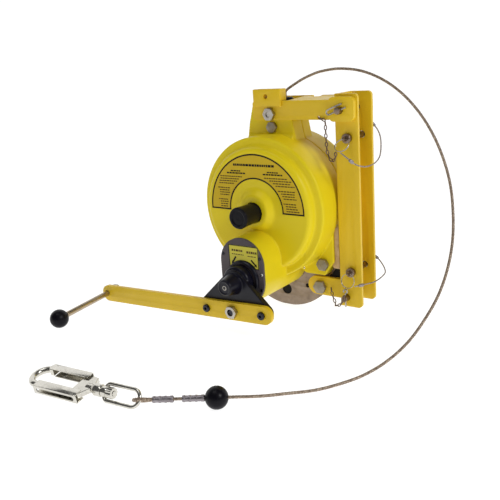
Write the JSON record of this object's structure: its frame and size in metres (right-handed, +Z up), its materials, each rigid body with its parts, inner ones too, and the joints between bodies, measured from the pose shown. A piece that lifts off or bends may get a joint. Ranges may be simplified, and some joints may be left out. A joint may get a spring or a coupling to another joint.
{
  "type": "self retracting lifeline",
  "caption": "Round yellow fall arrest winch with a retrieval crank, on a bracket for a tripod leg, with its wire rope led out to a swivel snap hook.",
  "frame": {"origin": "middle of the bracket channel's seat, where the tripod leg rests against its web", "axes": "+X out of the channel's mouth, square to the seat; -Y towards the cover's front and the crank; +Z up along the leg"},
  "size_m": [0.5657, 0.4761, 0.3689],
  "materials": {
    "housing_yellow": "glossy lemon yellow enamel on an aluminium casting",
    "bracket_yellow": "golden yellow powder coat on steel",
    "plate_steel": "dull stainless plate",
    "gearbox_grey": "dark grey plate",
    "black_plastic": "black moulded plastic, low gloss",
    "black_enamel": "black enamel, semi-gloss",
    "pad_rubber": "matte",
    "zinc": "zinc plated, slightly warm",
    "pin_steel": "plain steel",
    "lanyard_wire": "stranded wire",
    "chain_bronze": "tarnished plated links",
    "rod_tan": "passivated zinc with a tan tint",
    "rope_wire": "galvanised strands, tan from grease",
    "ferrule": "swaged sleeve, dull",
    "hook_plating": "bright zinc plating, slightly warm",
    "shaft_steel": "machined",
    "ratchet_steel": "hardened",
    "drum_aluminium": "cast and turned",
    "bearing_bronze": "oiled bronze",
    "friction_lining": "moulded friction lining",
    "spring_steel": "blued strip"
  },
  "bodies": {
    "frame": {"front_cover": "housing_yellow", "rear_housing": "housing_yellow", "frame_plate": "plate_steel", "gearbox_plate": "gearbox_grey", "rope_bushing": "black_plastic", "rope_guard": "bracket_yellow", "leg_channel": "bracket_yellow", "upper_arm": "bracket_yellow", "lower_arm": "bracket_yellow", "arm_bolt": "zinc", "neck_bolt": "zinc", "foot_bolt": "zinc", "lug_bolt": "zinc", "foot_pad": "pad_rubber", "upper_clevis_pin": "pin_steel", "lower_clevis_pin": "pin_steel", "upper_lanyard": "lanyard_wire", "lower_lanyard": "lanyard_wire", "upper_chain": "chain_bronze", "lower_chain": "chain_bronze", "drum_shaft": "shaft_steel", "brake_disc": "friction_lining", "power_spring": "spring_steel", "rope": "rope_wire", "rope_eye": "rope_wire", "ferrule_a": "ferrule", "ferrule_b": "ferrule", "stopper_ball": "black_plastic"},
    "drum": {"drum": "drum_aluminium", "wound_rope": "rope_wire", "drum_bearing": "bearing_bronze"},
    "pawl_a": {"pawl_a": "ratchet_steel"},
    "pawl_b": {"pawl_b": "ratchet_steel"},
    "brake_ring": {"ratchet_ring": "ratchet_steel"},
    "drum_gear": {"drum_gear": "shaft_steel"},
    "clutch": {"clutch_ring": "shaft_steel"},
    "shift_knob": {"shift_knob": "black_plastic"},
    "crank": {"crank_shaft": "shaft_steel", "pinion": "shaft_steel", "load_ratchet": "ratchet_steel", "crank_hub": "black_enamel", "crank_arm": "bracket_yellow", "arm_screw_left": "black_enamel", "arm_screw_right": "black_enamel", "arm_nut": "zinc", "handle_rod": "rod_tan", "rod_nut": "zinc"},
    "handle": {"handle_knob": "black_plastic"},
    "load_pawl": {"load_pawl": "ratchet_steel"},
    "upper_pin": {"upper_detent_pin": "pin_steel", "upper_pull_ring": "zinc"},
    "lower_pin": {"lower_detent_pin": "pin_steel", "lower_pull_ring": "zinc"},
    "upper_clip": {"upper_hitch_clip": "zinc"},
    "lower_clip": {"lower_cotter_pin": "zinc"},
    "bail": {"swivel_bail": "hook_plating"},
    "hook": {"hook_body": "hook_plating", "swivel_nut": "hook_plating"},
    "gate": {"hook_gate": "hook_plating"},
    "lock": {"hook_lock": "hook_plating"}
  },
  "joints": [
    {"name": "drum_spin", "type": "hinge", "parent": "frame", "child": "drum", "pos_m": [-0.115, 0, -0.007], "axis": [0, 1, 0], "continuous": true},
    {"name": "pawl_a_swing", "type": "hinge", "parent": "drum", "child": "pawl_a", "pos_m": [-0.049, -0.0245, -0.007], "axis": [0, 1, 0], "range_deg": [0, 14], "stiffness_Nm_per_rad": 0.02, "springref_deg": -5.73},
    {"name": "pawl_b_swing", "type": "hinge", "parent": "drum", "child": "pawl_b", "pos_m": [-0.181, -0.0245, -0.007], "axis": [0, 1, 0], "range_deg": [0, 14], "stiffness_Nm_per_rad": 0.02, "springref_deg": -5.73},
    {"name": "brake_slip", "type": "hinge", "parent": "frame", "child": "brake_ring", "pos_m": [-0.115, -0.0245, -0.007], "axis": [0, 1, 0], "continuous": true},
    {"name": "crank_spin", "type": "hinge", "parent": "frame", "child": "crank", "pos_m": [-0.115, -0.1435, -0.101], "axis": [0, 1, 0], "continuous": true},
    {"name": "handle_spin", "type": "hinge", "parent": "crank", "child": "handle", "pos_m": [-0.38268, -0.14525, -0.15459], "axis": [-0.0418, 0.9973, 0.061], "continuous": true},
    {"name": "drum_gear_spin", "type": "hinge", "parent": "frame", "child": "drum_gear", "pos_m": [-0.115, -0.0545, -0.007], "axis": [0, 1, 0], "continuous": true},
    {"name": "knob_slide", "type": "slide", "parent": "frame", "child": "shift_knob", "axis": [0, 1, 0], "range_m": [0, 0.01]},
    {"name": "clutch_slide", "type": "slide", "parent": "drum_gear", "child": "clutch", "axis": [0, 1, 0], "range_m": [0, 0.01]},
    {"name": "load_pawl_lift", "type": "hinge", "parent": "frame", "child": "load_pawl", "pos_m": [-0.133, -0.0875, -0.0725], "axis": [0, -1, 0], "range_deg": [0, 15], "stiffness_Nm_per_rad": 0.05, "springref_deg": -5.73},
    {"name": "upper_pin_slide", "type": "slide", "parent": "frame", "child": "upper_pin", "axis": [0, -1, 0], "range_m": [0, 0.06]},
    {"name": "lower_pin_slide", "type": "slide", "parent": "frame", "child": "lower_pin", "axis": [0, -1, 0], "range_m": [0, 0.06]},
    {"name": "upper_clip_slide", "type": "slide", "parent": "frame", "child": "upper_clip", "axis": [-0.9336, 0, -0.3584], "range_m": [0, 0.028]},
    {"name": "lower_clip_slide", "type": "slide", "parent": "frame", "child": "lower_clip", "axis": [0, 0, 1], "range_m": [0, 0.0185]},
    {"name": "bail_swing", "type": "hinge", "parent": "frame", "child": "bail", "pos_m": [-0.0822, -0.3764, -0.167], "axis": [0, 0, 1], "range_deg": [-8, 20]},
    {"name": "hook_swivel", "type": "hinge", "parent": "bail", "child": "hook", "pos_m": [-0.135, -0.382, -0.167], "axis": [-0.9945, -0.1045, 0], "continuous": true},
    {"name": "gate_open", "type": "hinge", "parent": "hook", "child": "gate", "pos_m": [-0.17578, -0.37193, -0.16448], "axis": [0.0181, -0.1727, 0.9848], "range_deg": [0, 20], "stiffness_Nm_per_rad": 0.08, "springref_deg": -17.19},
    {"name": "lock_press", "type": "hinge", "parent": "hook", "child": "lock", "pos_m": [-0.18457, -0.40305, -0.16978], "axis": [-0.0181, 0.1727, -0.9848], "range_deg": [0, 4.5], "stiffness_Nm_per_rad": 0.3, "springref_deg": -5.73}
  ],
  "couplings": [
    {"joint": "drum_gear_spin", "follows": "crank_spin", "ratio": -0.175},
    {"joint": "clutch_slide", "follows": "knob_slide", "ratio": 1}
  ]
}
